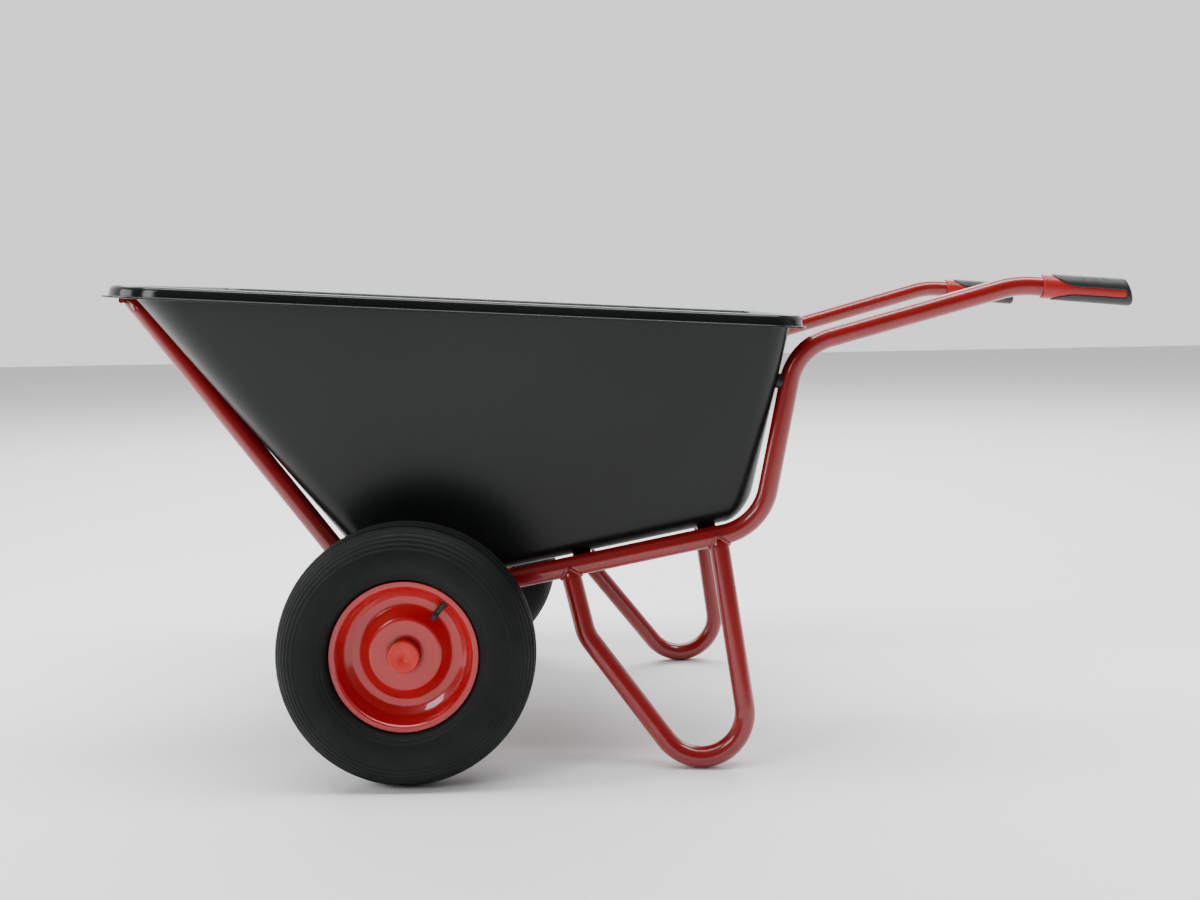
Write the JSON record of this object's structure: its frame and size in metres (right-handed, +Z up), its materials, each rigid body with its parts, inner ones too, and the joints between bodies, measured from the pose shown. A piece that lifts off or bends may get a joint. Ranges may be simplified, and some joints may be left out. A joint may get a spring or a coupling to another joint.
{
  "type": "wheelbarrow",
  "caption": "Twin-wheel wheelbarrow with a deep plastic tray, a bent red tube frame, looped legs and two freely spinning pneumatic wheels.",
  "frame": {"origin": "on the floor, under the centre of the object's bounding box", "axes": "+X back to the handles, +Y to the operator's right, +Z up; the object is symmetric about Y = 0"},
  "size_m": [1.6382, 0.8, 0.7728],
  "materials": {
    "frame_paint": "gloss",
    "rim_paint": "gloss",
    "tray_plastic": "semi-gloss",
    "tyre_rubber": "matte",
    "black_rubber": "matte",
    "grip_red": "satin",
    "grip_black": "satin",
    "cap_red": "satin",
    "cap_black": "satin",
    "nylon": "satin",
    "zinc_steel": "satin"
  },
  "bodies": {
    "frame": {"left_side_tube": "frame_paint", "right_side_tube": "frame_paint", "nose_crossbar": "frame_paint", "front_cross_plate": "frame_paint", "rear_cross_plate": "frame_paint", "left_leg_loop": "frame_paint", "right_leg_loop": "frame_paint", "left_axle_bracket": "frame_paint", "right_axle_bracket": "frame_paint", "axle": "zinc_steel", "axle_spacers": "zinc_steel", "inner_axle_washers": "zinc_steel", "outer_axle_washers": "zinc_steel", "split_pins": "zinc_steel", "tray": "tray_plastic", "floor_bolts": "zinc_steel", "floor_washers": "zinc_steel", "floor_nuts": "zinc_steel", "rear_wall_screws": "zinc_steel", "left_rear_pad": "black_rubber", "right_rear_pad": "black_rubber", "left_grip_core": "grip_red", "right_grip_core": "grip_red", "left_grip_pads": "grip_black", "right_grip_pads": "grip_black"},
    "left_wheel": {"left_tyre": "tyre_rubber", "left_inner_tube": "black_rubber", "left_rim": "rim_paint", "left_hub_tube": "rim_paint", "left_inner_bush": "nylon", "left_outer_bush": "nylon", "left_hub_cap": "cap_red", "left_valve_stem": "black_rubber", "left_valve_cap": "cap_black"},
    "right_wheel": {"right_tyre": "tyre_rubber", "right_inner_tube": "black_rubber", "right_rim": "rim_paint", "right_hub_tube": "rim_paint", "right_inner_bush": "nylon", "right_outer_bush": "nylon", "right_hub_cap": "cap_red", "right_valve_stem": "black_rubber", "right_valve_cap": "cap_black"}
  },
  "joints": [
    {"name": "left_wheel_spin", "type": "hinge", "parent": "frame", "child": "left_wheel", "pos_m": [-0.3252, -0.35, 0.2], "axis": [0, 1, 0], "continuous": true},
    {"name": "right_wheel_spin", "type": "hinge", "parent": "frame", "child": "right_wheel", "pos_m": [-0.3252, 0.35, 0.2], "axis": [0, 1, 0], "continuous": true}
  ]
}
